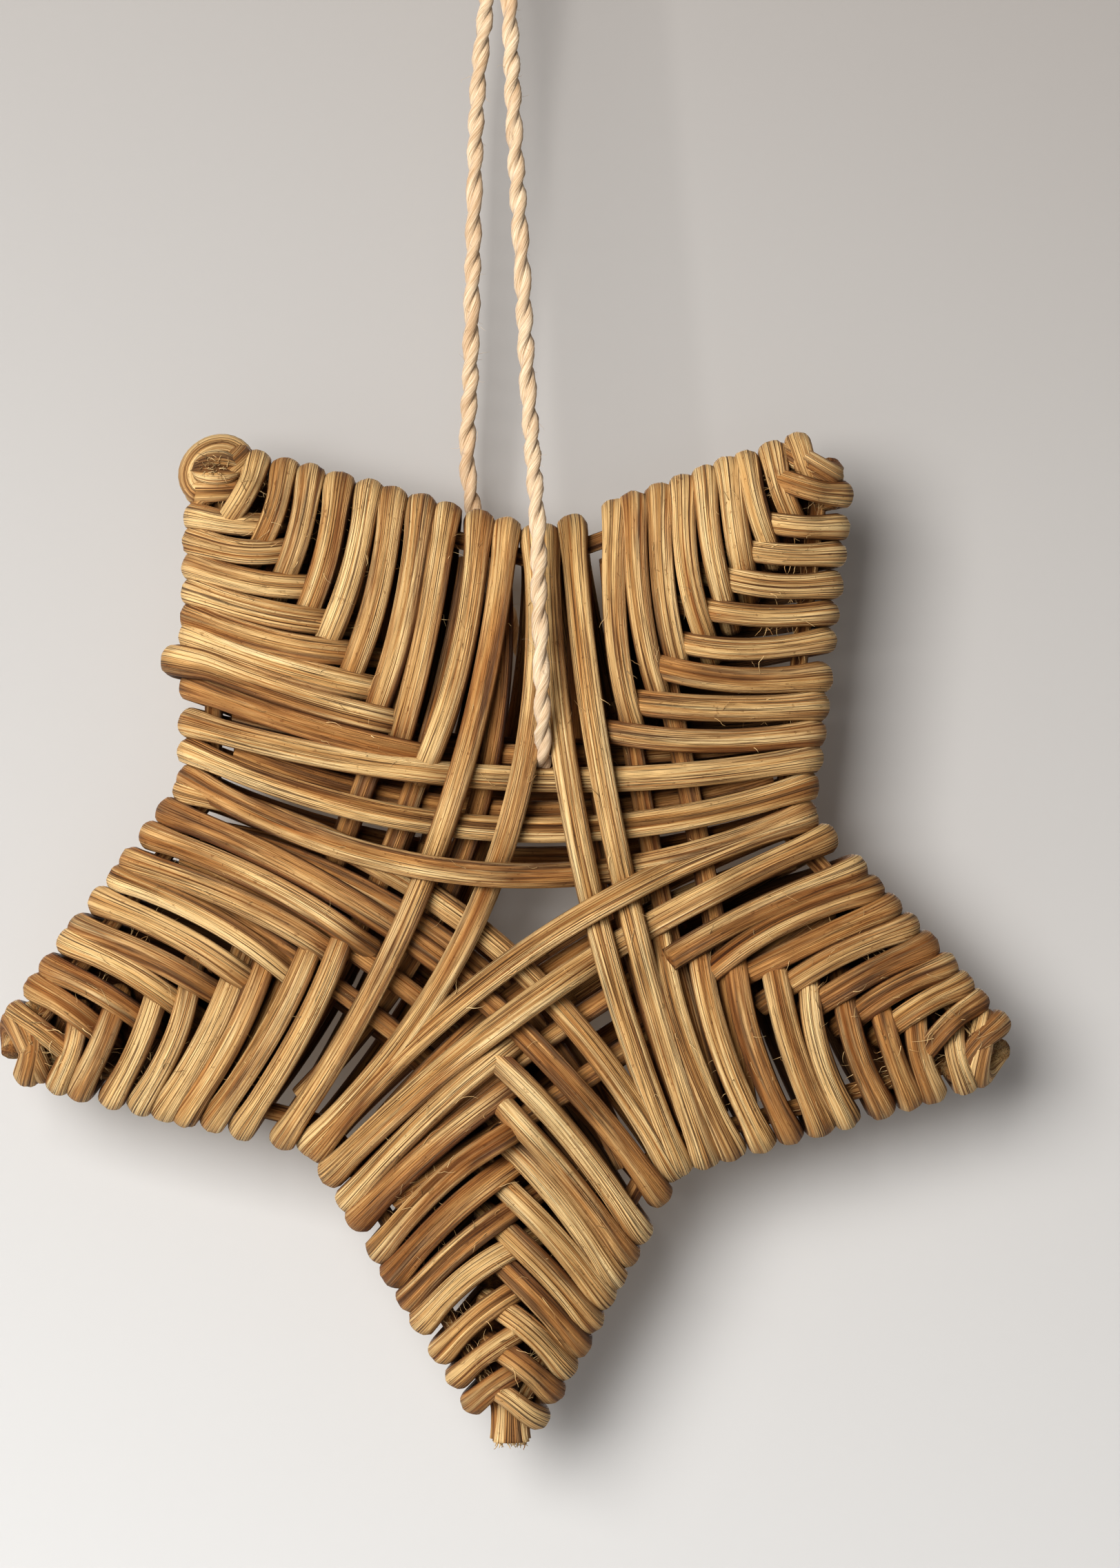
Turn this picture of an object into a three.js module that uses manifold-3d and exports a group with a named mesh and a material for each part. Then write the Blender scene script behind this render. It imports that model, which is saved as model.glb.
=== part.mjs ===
// Rattan star ornament: five arms wound over bent frame rods, a woven centre and a jute hanging twine.
// Millimetres, +Z up. The star's face looks along -Y. The origin is the top of the twine's loop,
// where a hook holds it, and the star hangs below.

import * as THREE from 'three';
import { mergeVertices } from 'three/addons/utils/BufferGeometryUtils.js';
import Module from 'manifold-3d';

const wasm = await Module();
wasm.setup();

// Driving dimensions
const STAR_REACH = 78.2;        // mean distance from the star's centre to an arm's outermost turn
const ROD_DIAMETER = 2.8;
const ROD_END_OUT = 5.6;        // how far the cut rod ends stand out past an arm's outermost turn
const ROD_SPACING = 0.3;        // gap between the two rods that meet in a tip
const STRAND_DIAMETER = 4.2;
const STRAND_GAP = 0.3;         // gap between neighbouring turns
const CLEARANCE = 0.9;          // gap between a rod and what is wound round it
const RIDGE_HEIGHT_TIP = 4.8;   // strand centre above the mid-plane on an arm's ridge, at the tip
const RIDGE_HEIGHT_BASE = 9.4;  // and at the arm's base
const STRAND_SLANT = 54;        // degrees between the outermost turn and its arm's axis
const CENTRE_HEIGHT = 10.2;     // mean strand centre above the mid-plane in the middle of the star
const TWINE_DIAMETER = 2.8;
const STAR_CENTRE_X = 1.7;      // star centre beside the hook
const STAR_CENTRE_Z = -182;     // star centre below the hook

// The arms, anticlockwise. angle and reach give the outermost turn's place, from the star's centre, and
// base is where the innermost turn crosses the arm's axis. All distances here and in the next table are
// shares of STAR_REACH, as the star is a hand-bent, uneven form.
const ARMS = [
  { name: 'right_upper', angle: 54.1, reach: 1.0281, base: 0.422 },
  { name: 'left_upper', angle: 124.8, reach: 0.9795, base: 0.332 },
  { name: 'left_lower', angle: 197.9, reach: 0.9962, base: 0.332 },
  { name: 'bottom', angle: 270.1, reach: 1.0153, base: 0.332 },
  { name: 'right_lower', angle: 341.5, reach: 0.9808, base: 0.345 },
];

// The valleys, each on the anticlockwise side of the arm with the same number. angle and reach give
// the rod's bend. A family of centre strands runs across the arms on both sides of its valley, to the
// next valleys: middles are the places, across and up, that its strands pass through, and a family
// of higher rank crosses over one of lower rank.
const VALLEYS = [
  { name: 'top', angle: 84.4, reach: 0.6535, middles: [[0.072, 0.029], [0.179, 0.123]], rank: 3 },
  { name: 'left', angle: 161.8, reach: 0.6202, middles: [[-0.038, 0.009], [-0.132, 0.113]], rank: 2 },
  { name: 'bottom_left', angle: 232.5, reach: 0.5870, middles: [[-0.023, -0.106], [-0.073, -0.185]], rank: 1 },
  { name: 'bottom_right', angle: 300.2, reach: 0.5882, middles: [[0.064, -0.097], [0.109, -0.171]], rank: 5 },
  { name: 'right', angle: 13.8, reach: 0.5537, middles: [[0.152, 0.028], [0.230, 0.000]], rank: 4 },
];

// The twine's route: from inside the star out at the front under the top valley, up over the hook,
// down behind the star and in at the back: across, up and forward from the star's centre.
const TWINE_ROUTE = [
  [5.3, 18.6, 1.2], [5.3, 18.8, 5.0], [5.3, 21.6, 11.4], [5.2, 28.0, 14.6], [5.0, 36.5, 14.4],
  [4.7, 45.0, 12.8], [4.6, 54.0, 11.4], [4.0, 63.2, 10.6], [3.0, 77.0, 9.8], [2.1, 95.3, 9.0],
  [0.9, 116.7, 8.0], [0.2, 134.0, 7.2], [-0.6, 150.0, 6.6], [-1.4, 166.0, 6.2], [-1.7, 174.6, 5.9],
  [-1.7, 178.9, 4.1], [-1.7, 180.6, 0.0], [-1.7, 178.9, -4.1], [-1.7, 174.6, -5.9], [-2.2, 164.0, -6.2],
  [-2.8, 151.0, -6.7], [-3.7, 138.0, -7.2], [-5.0, 125.0, -7.8], [-5.7, 101.0, -9.0], [-6.2, 80.0, -10.6],
  [-6.6, 66.0, -12.0], [-4.4, 54.0, -14.0], [-0.6, 44.0, -16.0], [3.0, 34.0, -16.6], [4.8, 26.4, -15.0],
  [5.2, 21.0, -10.4], [5.3, 18.6, -5.0], [5.3, 18.6, -1.2],
];

// Values that follow from those
const TAU = 2 * Math.PI;
const STRAND_SIDES = 5;
const TWINE_SIDES = 8;
const TWINE_STEPS = 72;
const SEARCH_STEPS = 60;        // spans a centre strand is cut into to find where it crosses another
const ROD_SIDES = 6;
const STRAND_RADIUS = STRAND_DIAMETER / 2;
const PITCH = STRAND_DIAMETER + STRAND_GAP;
const WRAP_RADIUS = ROD_DIAMETER / 2 + CLEARANCE + STRAND_RADIUS;
const WRAP_ANGLES = [75, 25, -25, -75].map(THREE.MathUtils.degToRad);
const WRAP_CORNER_RADIUS = WRAP_RADIUS / Math.cos(WRAP_ANGLES[1]);
const TIP_HALF = (ROD_DIAMETER + ROD_SPACING) / 2;
const RIDGE_HALF_FLAT = STRAND_RADIUS;
const CROSSING_BITE = 0.15;     // how far crossing centre strands sink into each other
const CROSSING_LIFT = STRAND_RADIUS - CROSSING_BITE;
const FIRST_WRAP = 0.8;         // pitches from a valley's bend to the first centre strand's wrap
const ARM_START = 3.0;          // and to the arm's innermost turn

const MATERIALS = {
  rattan: new THREE.MeshStandardMaterial({ color: 0xc39a63, roughness: 0.7, metalness: 0 }),
  rod: new THREE.MeshStandardMaterial({ color: 0x8a6238, roughness: 0.8, metalness: 0 }),
  twine: new THREE.MeshStandardMaterial({ color: 0xc9ab86, roughness: 0.95, metalness: 0 }),
};

// Star coordinates (across, up, forward) to the part's own
function place(across, up, forward) {
  return new THREE.Vector3(STAR_CENTRE_X + across, -forward, STAR_CENTRE_Z + up);
}

function triangleGeometry(positions, indices) {
  const geometry = new THREE.BufferGeometry();
  geometry.setAttribute('position', new THREE.Float32BufferAttribute(positions, 3));
  geometry.setIndex(indices);
  return geometry;
}

function signedVolume(positions, indices) {
  const corner = (i) => new THREE.Vector3().fromArray(positions, 3 * indices[i]);
  let volume = 0;
  for (let i = 0; i < indices.length; i += 3) {
    volume += corner(i).dot(corner(i + 1).cross(corner(i + 2))) / 6;
  }
  return volume;
}

// A closed tube through rings { centre, side }, where side is roughly at right angles to the path.
// Each ring is mitred, so the tube keeps its width round a bend.
function tube(rings, radius, sides, isLoop) {
  const count = rings.length;
  const positions = [];
  for (let i = 0; i < count; i += 1) {
    const centre = rings[i].centre;
    const before = isLoop ? rings[(i + count - 1) % count].centre : rings[Math.max(i - 1, 0)].centre;
    const after = isLoop ? rings[(i + 1) % count].centre : rings[Math.min(i + 1, count - 1)].centre;
    const arriving = (before === centre ? after.clone().sub(centre) : centre.clone().sub(before)).normalize();
    const leaving = (after === centre ? centre.clone().sub(before) : after.clone().sub(centre)).normalize();
    const along = arriving.clone().add(leaving).normalize();
    const bend = leaving.clone().sub(arriving);
    const widening = 1 / Math.max(along.dot(arriving), 0.5) - 1;
    if (bend.length() > 1e-6) bend.normalize();
    const normal = along.clone().cross(rings[i].side).normalize();
    const side = normal.clone().cross(along);
    for (let j = 0; j < sides; j += 1) {
      const angle = TAU * (j + 0.5) / sides;
      const spoke = side.clone().multiplyScalar(Math.cos(angle)).addScaledVector(normal, Math.sin(angle));
      spoke.addScaledVector(bend, widening * spoke.dot(bend)).multiplyScalar(radius).add(centre);
      positions.push(spoke.x, spoke.y, spoke.z);
    }
  }
  const indices = [];
  const spans = isLoop ? count : count - 1;
  for (let i = 0; i < spans; i += 1) {
    for (let j = 0; j < sides; j += 1) {
      const a = i * sides + j;
      const b = i * sides + (j + 1) % sides;
      const c = ((i + 1) % count) * sides + (j + 1) % sides;
      const d = ((i + 1) % count) * sides + j;
      indices.push(a, b, c, a, c, d);
    }
  }
  if (!isLoop) {
    const last = (count - 1) * sides;
    for (let j = 1; j < sides - 1; j += 1) {
      indices.push(0, j + 1, j);
      indices.push(last, last + j, last + j + 1);
    }
  }
  if (signedVolume(positions, indices) < 0) indices.reverse();
  return triangleGeometry(positions, indices);
}

function solidOf(geometry) {
  const bare = geometry.clone();
  bare.deleteAttribute('normal');
  bare.deleteAttribute('uv');
  const merged = mergeVertices(bare);
  return new wasm.Manifold(new wasm.Mesh({
    numProp: 3,
    vertProperties: new Float32Array(merged.getAttribute('position').array),
    triVerts: new Uint32Array(merged.getIndex().array),
  }));
}

function fuse(geometries) {
  let whole = solidOf(geometries[0]);
  for (const geometry of geometries.slice(1)) whole = whole.add(solidOf(geometry));
  const mesh = whole.getMesh();
  return triangleGeometry(Array.from(mesh.vertProperties), Array.from(mesh.triVerts));
}

function polar(angle, radius) {
  const turn = THREE.MathUtils.degToRad(angle);
  return new THREE.Vector2(Math.cos(turn), Math.sin(turn)).multiplyScalar(radius);
}

function placeFlat(spot, height) {
  return place(spot.x, spot.y, height);
}

function quarterTurn(flat) {
  return new THREE.Vector2(-flat.y, flat.x);
}

// The stretch of rod along one edge of an arm. hand is 1 on the arm's anticlockwise side and -1 on
// the other. It runs from the bend in the valley to the tip.
function armEdge(index, hand) {
  const arm = ARMS[index];
  const valley = VALLEYS[(hand > 0 ? index : index + VALLEYS.length - 1) % VALLEYS.length];
  const axis = polar(arm.angle, 1);
  const bend = polar(valley.angle, STAR_REACH * valley.reach);
  const tip = polar(arm.angle, STAR_REACH * arm.reach).addScaledVector(quarterTurn(axis), hand * TIP_HALF);
  const along = tip.clone().sub(bend);
  const length = along.length();
  along.normalize();
  const out = quarterTurn(along).multiplyScalar(hand);
  const at = (distance) => bend.clone().addScaledVector(along, distance);
  return { axis, bend, tip, length, along, out, at };
}

// Rings round the rod of an edge, front to back, for a strand that wraps it square
function wrapRings(edge, distance) {
  const side = new THREE.Vector3(edge.along.x, 0, edge.along.y);
  return WRAP_ANGLES.map((angle) => {
    const spot = edge.at(distance).addScaledVector(edge.out, WRAP_CORNER_RADIUS * Math.cos(angle));
    return { centre: placeFlat(spot, WRAP_CORNER_RADIUS * Math.sin(angle)), side };
  });
}

// The level direction at right angles to reach, on the same side as outward
function sideOf(reach, outward) {
  const level = quarterTurn(reach);
  if (level.dot(outward) < 0) level.negate();
  return new THREE.Vector3(level.x, 0, level.y);
}

// An arm's winding: one strand, laid turn by turn from the tip to the arm's base. The two halves of
// a turn meet on the ridge, half a pitch out of step, and make the herringbone.
function armWinding(index) {
  const edges = { 1: armEdge(index, 1), '-1': armEdge(index, -1) };
  const start = ARM_START * PITCH;
  const meanLength = (edges[1].length + edges[-1].length) / 2;
  const turns = Math.floor((meanLength - start) / PITCH + 0.5);
  const slant = THREE.MathUtils.degToRad(STRAND_SLANT);
  const ridgeTip = STAR_REACH * ARMS[index].reach - TIP_HALF / Math.tan(slant);

  const half = (turn, hand) => {
    const edge = edges[hand];
    const share = (turn + (hand > 0 ? 0 : 0.5)) / (turns - 0.5);
    const distance = THREE.MathUtils.lerp(edge.length, start, share);
    const ridgeRadius = THREE.MathUtils.lerp(ridgeTip, STAR_REACH * ARMS[index].base, share);
    const ridgeAt = edge.axis.clone().multiplyScalar(ridgeRadius);
    const reach = edge.at(distance).sub(ridgeAt).normalize();
    const side = sideOf(reach, edge.axis);
    const near = ridgeAt.addScaledVector(reach, RIDGE_HALF_FLAT);
    const height = THREE.MathUtils.lerp(RIDGE_HEIGHT_TIP, RIDGE_HEIGHT_BASE, share);
    return {
      wrap: wrapRings(edge, distance),
      front: { centre: placeFlat(near, height), side },
      back: { centre: placeFlat(near, -height), side },
    };
  };

  const rings = [];
  for (let turn = 0; turn < turns; turn += 1) {
    const left = half(turn, 1);
    const right = half(turn, -1);
    if (turn > 0) rings.push(left.back);
    rings.push(...left.wrap.toReversed(), left.front, right.front, ...right.wrap, right.back);
  }
  return tube(rings, STRAND_RADIUS, STRAND_SIDES, false);
}

// The frame: one rod for each valley, bent there, with its ends side by side with its neighbours'
function frameRod(index) {
  const before = armEdge(index, 1);
  const after = armEdge((index + 1) % ARMS.length, -1);
  const side = new THREE.Vector3(0, 1, 0);
  const spots = [
    before.tip.clone().addScaledVector(before.axis, ROD_END_OUT),
    before.tip,
    before.bend,
    after.tip,
    after.tip.clone().addScaledVector(after.axis, ROD_END_OUT),
  ];
  const rings = spots.map((spot) => ({ centre: placeFlat(spot, 0), side }));
  return tube(rings, ROD_DIAMETER / 2, ROD_SIDES, false);
}

// A strand of the woven centre, seen flat: a parabola through its middle place, from a rod beside the
// valley before its own to a rod beside the valley after it
function centreStrand(valley, order) {
  const index = VALLEYS.indexOf(valley);
  const fromEdge = armEdge(index, -1);
  const toEdge = armEdge((index + 1) % ARMS.length, 1);
  const wrapDistance = (FIRST_WRAP + order) * PITCH;
  const from = fromEdge.at(wrapDistance);
  const to = toEdge.at(wrapDistance);
  const middle = new THREE.Vector2(...valley.middles[order]).multiplyScalar(STAR_REACH);
  const share = middle.distanceTo(from) / (middle.distanceTo(from) + middle.distanceTo(to));
  const pull = middle.clone().addScaledVector(from, -((1 - share) ** 2)).addScaledVector(to, -(share ** 2))
    .divideScalar(2 * share * (1 - share));
  const flat = (t) => from.clone().multiplyScalar((1 - t) ** 2).addScaledVector(pull, 2 * t * (1 - t))
    .addScaledVector(to, t * t);
  return { valley, fromEdge, toEdge, wrapDistance, flat, outward: polar(valley.angle, 1) };
}

// Where two strands cross, as a share of the first one's length, or null
function crossingOf(first, second) {
  for (let i = 0; i < SEARCH_STEPS; i += 1) {
    const p = first.flat(i / SEARCH_STEPS);
    const r = first.flat((i + 1) / SEARCH_STEPS).sub(p);
    for (let j = 0; j < SEARCH_STEPS; j += 1) {
      const q = second.flat(j / SEARCH_STEPS);
      const s = second.flat((j + 1) / SEARCH_STEPS).sub(q);
      const base = r.cross(s);
      if (base === 0) continue;
      const t = q.clone().sub(p).cross(s) / base;
      const u = q.clone().sub(p).cross(r) / base;
      if (t >= 0 && t < 1 && u >= 0 && u < 1) return (i + t) / SEARCH_STEPS;
    }
  }
  return null;
}

function centreLoop(strand, others) {
  const crossings = [];
  for (const other of others) {
    if (other.valley === strand.valley) continue;
    const t = crossingOf(strand, other);
    if (t === null) continue;
    crossings.push({ t, lift: strand.valley.rank > other.valley.rank ? CROSSING_LIFT : -CROSSING_LIFT });
  }
  crossings.sort((one, two) => one.t - two.t);

  const side = new THREE.Vector3(strand.outward.x, 0, strand.outward.y);
  const pass = (face) => crossings.map(({ t, lift }) => (
    { centre: placeFlat(strand.flat(t), face * (CENTRE_HEIGHT + lift)), side }
  ));
  const rings = [
    ...pass(1), ...wrapRings(strand.toEdge, strand.wrapDistance),
    ...pass(-1).toReversed(), ...wrapRings(strand.fromEdge, strand.wrapDistance).toReversed(),
  ];
  return tube(rings, STRAND_RADIUS, STRAND_SIDES, true);
}

function centreWeave() {
  const strands = VALLEYS.flatMap((valley) => valley.middles.map((_, order) => centreStrand(valley, order)));
  return fuse(strands.map((strand) => centreLoop(strand, strands)));
}

function hangingTwine() {
  const points = TWINE_ROUTE.map((spot) => place(...spot));
  const curve = new THREE.CatmullRomCurve3(points, false, 'centripetal');
  const side = new THREE.Vector3(1, 0, 0);
  const rings = curve.getSpacedPoints(TWINE_STEPS).map((centre) => ({ centre, side }));
  return tube(rings, TWINE_DIAMETER / 2, TWINE_SIDES, false);
}

const star = new THREE.Group();

function addPiece(name, geometry, material) {
  const mesh = new THREE.Mesh(geometry, material);
  mesh.name = name;
  star.add(mesh);
}

for (let i = 0; i < ARMS.length; i += 1) {
  addPiece(`arm_winding_${ARMS[i].name}`, armWinding(i), MATERIALS.rattan);
  addPiece(`frame_rod_${VALLEYS[i].name}`, frameRod(i), MATERIALS.rod);
}
addPiece('centre_weave', centreWeave(), MATERIALS.rattan);
addPiece('hanging_twine', hangingTwine(), MATERIALS.twine);

export default star;
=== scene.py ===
# Rattan star ornament: the looks. Sizes are in millimetres here and become metres in the meshes.
# Star coordinates are across, up and forward (towards the viewer) from the star's centre.
import math

import bpy
import numpy as np
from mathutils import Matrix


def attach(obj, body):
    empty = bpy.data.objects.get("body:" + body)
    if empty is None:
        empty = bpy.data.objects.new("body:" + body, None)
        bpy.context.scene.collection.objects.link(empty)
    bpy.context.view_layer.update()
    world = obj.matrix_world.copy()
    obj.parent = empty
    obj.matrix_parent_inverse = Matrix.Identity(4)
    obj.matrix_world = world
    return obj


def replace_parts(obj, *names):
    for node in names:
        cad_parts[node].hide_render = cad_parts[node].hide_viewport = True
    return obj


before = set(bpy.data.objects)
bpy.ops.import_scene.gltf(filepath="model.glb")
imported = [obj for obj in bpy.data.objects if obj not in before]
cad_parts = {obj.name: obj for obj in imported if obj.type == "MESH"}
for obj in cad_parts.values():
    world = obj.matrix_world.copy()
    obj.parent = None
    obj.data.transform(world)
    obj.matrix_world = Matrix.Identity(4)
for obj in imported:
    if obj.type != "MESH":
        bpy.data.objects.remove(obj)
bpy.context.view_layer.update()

MM = 0.001
STAR_X = 1.7
STAR_Z = -182.0

# The photograph's frame and what it shows of the star's plane
PHOTO_HEIGHT = 2274
MM_PER_PIXEL = 0.107
VIEW_CENTRE = (7.9, 16.5)
CAMERA_DISTANCE = 900.0
SENSOR = 36.0

# Construction, as in the part
ROD_DIAMETER = 2.8
ROD_SPACING = 0.3
STRAND_SLANT = 54.0
ARMS = [
    {"name": "right_upper", "angle": 54.1, "radius": 80.4, "base": 30.0},
    {"name": "left_upper", "angle": 124.8, "radius": 76.6, "base": 23.0},
    {"name": "left_lower", "angle": 197.9, "radius": 77.9, "base": 24.0},
    {"name": "bottom", "angle": 270.1, "radius": 79.4, "base": 24.0},
    {"name": "right_lower", "angle": 341.5, "radius": 76.7, "base": 25.0},
]
VALLEYS = [
    {"name": "top", "angle": 84.4, "radius": 51.1},
    {"name": "left", "angle": 161.8, "radius": 48.5},
    {"name": "bottom_left", "angle": 232.5, "radius": 45.9},
    {"name": "bottom_right", "angle": 300.2, "radius": 46.0},
    {"name": "right", "angle": 13.8, "radius": 43.3},
]
# The centre strands of each valley's family: the place each passes through, its wrap's distance
# from the valley bend in pitches, and its rank: a higher one crosses over a lower one.
CENTRE_STRANDS = [
    (0, (5.6, 2.3), 0.5, 30), (0, (14.0, 9.6), 1.45, 31), (0, (1.0, 17.3), 2.4, 3),
    (1, (-3.0, 0.7), 0.5, 20), (1, (-10.3, 8.8), 1.45, 19),
    (2, (-1.8, -8.3), 0.5, 12), (2, (-5.7, -14.5), 1.45, 11),
    (3, (5.0, -7.6), 0.5, 50), (3, (8.5, -13.4), 1.45, 38),
    (4, (11.9, 2.2), 0.5, 42), (4, (18.0, 0.0), 1.45, 40),
]
# Strands of the layer beneath, seen in the gaps: valley, the place each passes through, distance
# from the bend in pitches
INNER_STRANDS = [
    (0, (4.0, 13.0), 1.6), (0, (2.0, 22.0), 2.9), (1, (-6.5, 5.0), 1.3), (1, (-16.5, 13.0), 2.4),
    (1, (-22.0, 19.0), 3.4), (2, (-4.0, -11.5), 1.2), (2, (-10.5, -19.5), 2.3), (2, (-15.0, -26.0), 3.3),
    (3, (7.5, -10.5), 1.2), (3, (12.5, -18.0), 2.3), (3, (17.0, -24.0), 3.3), (4, (15.0, 2.5), 1.2),
    (4, (22.5, 1.0), 2.3), (4, (29.0, 4.0), 3.3),
]

STRAND_DIAMETER = 4.35
PITCH = 4.5
# Where an arm's turns begin, in pitches from the valley's bend
ARM_START = 2.45
FIRST_ROW_START = 3.3        # beside the top family, which has one strand more
ROD_CLEARANCE = 0.25
WRAP_RADIUS = ROD_DIAMETER / 2 + ROD_CLEARANCE + STRAND_DIAMETER / 2
# Heights of the strands' centre lines over the mid-plane
RIDGE_TIP = 5.2
RIDGE_BASE = 10.0
CENTRE_HEIGHT = 10.4
TIP_HALF = (ROD_DIAMETER + ROD_SPACING) / 2
TAU = 2 * math.pi


def place(points):
    """Star coordinates in millimetres to the part's own in metres."""
    points = np.asarray(points, float)
    out = np.empty_like(points)
    out[..., 0] = (STAR_X + points[..., 0]) * MM
    out[..., 1] = -points[..., 2] * MM
    out[..., 2] = (STAR_Z + points[..., 1]) * MM
    return out


def unit(v):
    v = np.asarray(v, float)
    return v / np.maximum(np.linalg.norm(v, axis=-1, keepdims=True), 1e-9)


def polar(angle, radius=1.0):
    turn = math.radians(angle)
    return radius * np.array([math.cos(turn), math.sin(turn)])


def quarter(flat):
    flat = np.asarray(flat, float)
    return np.stack([-flat[..., 1], flat[..., 0]], -1)


def smooth(values, sigma, step, closed=False):
    """Gaussian smoothing along the first axis, round a loop or with the ends kept."""
    half = max(1, int(3 * sigma / step))
    kernel = np.exp(-0.5 * (np.arange(-half, half + 1) * step / sigma) ** 2)
    kernel /= kernel.sum()
    values = np.asarray(values, float)
    shaped = values.reshape(len(values), -1)
    out = np.empty_like(shaped)
    for c in range(shaped.shape[1]):
        column = shaped[:, c]
        before, after = 2 * column[0] - column[half:0:-1], 2 * column[-1] - column[-2:-half - 2:-1]
        if closed:
            before, after = column[-half:], column[:half]
        padded = np.concatenate([before, column, after])
        out[:, c] = np.convolve(padded, kernel, "valid")
    return out.reshape(values.shape)


def run_of(points):
    """How far along its own line each point is."""
    return np.concatenate([[0], np.cumsum(np.linalg.norm(np.diff(points, axis=0), axis=1))])


def resample(points, step, *others):
    """The points a step apart along their own line, and other rows of values with them."""
    lengths = run_of(points)
    count = max(4, int(round(lengths[-1] / step)) + 1)
    at = np.linspace(0, lengths[-1], count)
    rows = [np.stack([np.interp(at, lengths, column) for column in np.asarray(r, float).T], -1)
            for r in (points, *others)]
    return rows if others else rows[0]


def smoothstep(t):
    t = np.clip(t, 0, 1)
    return 3 * t ** 2 - 2 * t ** 3


class Edge:
    """The stretch of rod along one edge of an arm, from the valley's bend to the tip."""

    def __init__(self, index, hand):
        arm = ARMS[index]
        valley = VALLEYS[(index if hand > 0 else index - 1) % len(VALLEYS)]
        self.axis = polar(arm["angle"])
        self.bend = polar(valley["angle"], valley["radius"])
        self.tip = polar(arm["angle"], arm["radius"]) + hand * TIP_HALF * quarter(self.axis)
        self.length = float(np.linalg.norm(self.tip - self.bend))
        self.along = unit(self.tip - self.bend)
        self.out = hand * quarter(self.along)

    def at(self, distance):
        return self.bend + distance * self.along


PLAN_STEP = 0.8


def plan_line(points):
    return resample(np.asarray(points, float), PLAN_STEP)


def bezier(a, b, c, count=40):
    t = np.linspace(0, 1, count)[:, None]
    return (1 - t) ** 2 * a + 2 * t * (1 - t) * b + t * t * c


def control_through(start, middle, end):
    """The control point that leads a curve through the middle."""
    near, far = np.linalg.norm(middle - start), np.linalg.norm(middle - end)
    share = near / (near + far)
    return (middle - (1 - share) ** 2 * start - share ** 2 * end) / (2 * share * (1 - share))


def arched(base, top, t):
    """Heights from a base up to the top at mid-way and down again."""
    return base + (top - base) * np.sin(math.pi * t) ** 0.8


class Pass:
    """A strand's way over one face, seen flat, and its heights over the mid-plane."""

    def __init__(self, plan, heights, order, radius, wraps):
        self.plan = plan
        self.rest = heights
        self.heights = heights.copy()
        self.order = order
        self.radius = radius
        self.wraps = wraps


class Wrap:
    """How a strand comes off a rod onto a face: its lean along the rod and where it lets go."""

    def __init__(self, edge, distance, heading, slope, bulge=1.0):
        self.edge, self.distance, self.heading = edge, distance, heading
        inward = max(-float(heading @ edge.out), 0.3)
        self.lean = float(np.clip((heading @ edge.along) / inward, -1.2, 1.2))
        self.let_go = math.pi / 2 - math.atan(slope / inward)
        self.bulge = bulge

    def spot(self, angle):
        """The flat place and the height at an angle round the rod."""
        reach = WRAP_RADIUS * self.bulge
        shift = self.lean * WRAP_RADIUS * (1 - math.cos(angle))
        off_rod = reach * math.cos(angle) - (reach - WRAP_RADIUS) * 0.3
        height = WRAP_RADIUS * (0.5 + 0.5 * self.bulge) * math.sin(angle)
        return self.edge.at(self.distance + shift) + self.edge.out * off_rod, height

    def points(self, face, count=8):
        """From the outermost place to where it lets go, both left out."""
        rows = [self.spot(a) for a in np.linspace(0, self.let_go, count)[1:-1]]
        side = quarter(self.heading)
        side = side if side @ self.edge.along > 0 else -side
        return (np.array([[*flat, face * height] for flat, height in rows]),
                np.tile([*side, 0.0], (len(rows), 1)))


# How much steeper than an even slope a strand starts its way up
EARLY_RISE = 1.25
# How far an arm's strand bows towards the middle, as a share of its length, and how this varies
BOW, BOW_SPREAD = 0.10, 0.05
# How far a strand runs on past the ridge: more towards the middle, until long ends would stand up
TAIL_AT_TIP, TAIL_GROWTH = 3.2, 4.0
SHORT_TAIL, SHORT_TAIL_FROM = 2.8, 0.62
# There it dips under its neighbours, by a share of its diameter
DIP_BEFORE, DIP_LENGTH = 1.5, 4.0
DIP_AT_TIP, DIP_GROWTH = 0.45, 0.5
# The layer beneath starts inside the rods, this high
INNER_INSET, INNER_START = 2.5, 2.4


def rise_of(top, length):
    return (top - WRAP_RADIUS) / max(length, 4.0) * EARLY_RISE


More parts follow.
